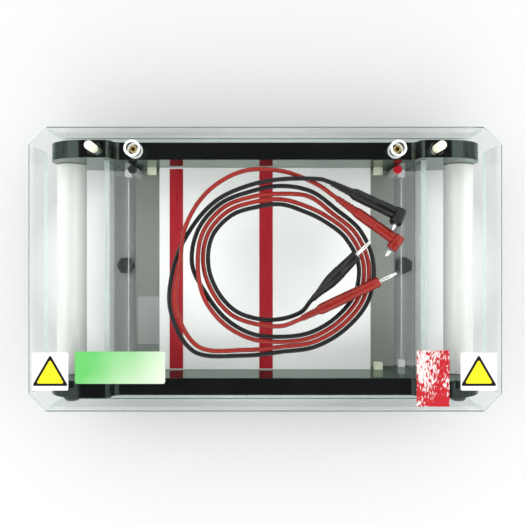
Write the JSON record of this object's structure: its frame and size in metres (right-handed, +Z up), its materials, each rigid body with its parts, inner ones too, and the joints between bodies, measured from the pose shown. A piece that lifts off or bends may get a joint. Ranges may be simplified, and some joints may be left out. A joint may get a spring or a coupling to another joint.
{
  "type": "gel electrophoresis tank",
  "caption": "Horizontal gel electrophoresis tank with black side walls, carrying tubes, a raised gel platform, a clear lift-off lid and a pair of coiled leads.",
  "frame": {"origin": "bottom centre of the object, on the surface it stands on", "axes": "+X along the length, towards the anode end; +Y towards the wall with the sockets; +Z up"},
  "size_m": [0.427, 0.257, 0.123],
  "materials": {
    "black_acrylic": "polished black acrylic",
    "clear_acrylic": "clear acrylic, faintly green",
    "white_acrylic": "white acrylic",
    "grey_sheet": "grey sheet",
    "red_strip": "red film",
    "cream_plastic": "ivory nylon",
    "platinum": "bright drawn wire",
    "frosted_tube": "frosted tube",
    "black_plastic": "moulded",
    "red_plastic": "moulded",
    "gold_contact": "gold plated",
    "milky_tube": "milky tube",
    "steel": "rod",
    "grey_plastic": "moulded",
    "foot_rubber": "rubber",
    "ink": "printed mark",
    "label_cream": "printed label",
    "label_green": "printed label",
    "label_red": "scuffed label",
    "red_pvc": "flexible PVC",
    "black_pvc": "flexible PVC"
  },
  "bodies": {
    "tank": {"front_side_wall": "black_acrylic", "rear_side_wall": "black_acrylic", "left_end_wall": "clear_acrylic", "right_end_wall": "clear_acrylic", "base_plate": "clear_acrylic", "gel_platform": "white_acrylic", "left_riser": "white_acrylic", "right_riser": "white_acrylic", "left_chamber_floor": "grey_sheet", "right_chamber_floor": "grey_sheet", "left_loading_strip": "red_strip", "centre_loading_strip": "red_strip", "tray_stops": "cream_plastic", "cathode_wire": "platinum", "anode_wire": "platinum", "electrode_clips": "white_acrylic", "cathode_conduit": "frosted_tube", "anode_conduit": "frosted_tube", "cathode_cap": "black_plastic", "anode_cap": "red_plastic", "cathode_socket": "gold_contact", "anode_socket": "gold_contact", "left_lid_peg": "cream_plastic", "right_lid_peg": "cream_plastic", "left_handle_tube": "milky_tube", "right_handle_tube": "milky_tube", "handle_tie_rods": "steel", "handle_screws": "black_plastic", "guide_buttons": "black_plastic", "hex_feet": "grey_plastic", "rubber_feet": "foot_rubber", "left_fill_marks": "ink", "right_fill_marks": "ink", "floor_label": "grey_sheet"},
    "lid": {"lid_shell": "clear_acrylic", "cathode_shroud": "clear_acrylic", "anode_shroud": "clear_acrylic", "left_warning_label": "label_cream", "right_warning_label": "label_cream", "green_label": "label_green", "red_label": "label_red"},
    "leads": {"red_cable": "red_pvc", "black_cable": "black_pvc", "red_angled_plug": "red_pvc", "black_angled_plug": "black_pvc", "red_angled_pin": "gold_contact", "black_angled_pin": "gold_contact", "red_straight_plug": "red_pvc", "black_straight_plug": "black_pvc", "red_straight_pin": "gold_contact", "black_straight_pin": "gold_contact"}
  },
  "joints": [
    {"name": "lid_lift", "type": "slide", "parent": "tank", "child": "lid", "axis": [0, 0, 1], "range_m": [0, 0.12]},
    {"name": "leads_lift", "type": "slide", "parent": "lid", "child": "leads", "axis": [0, 0, 1], "range_m": [0, 0.1]}
  ]
}
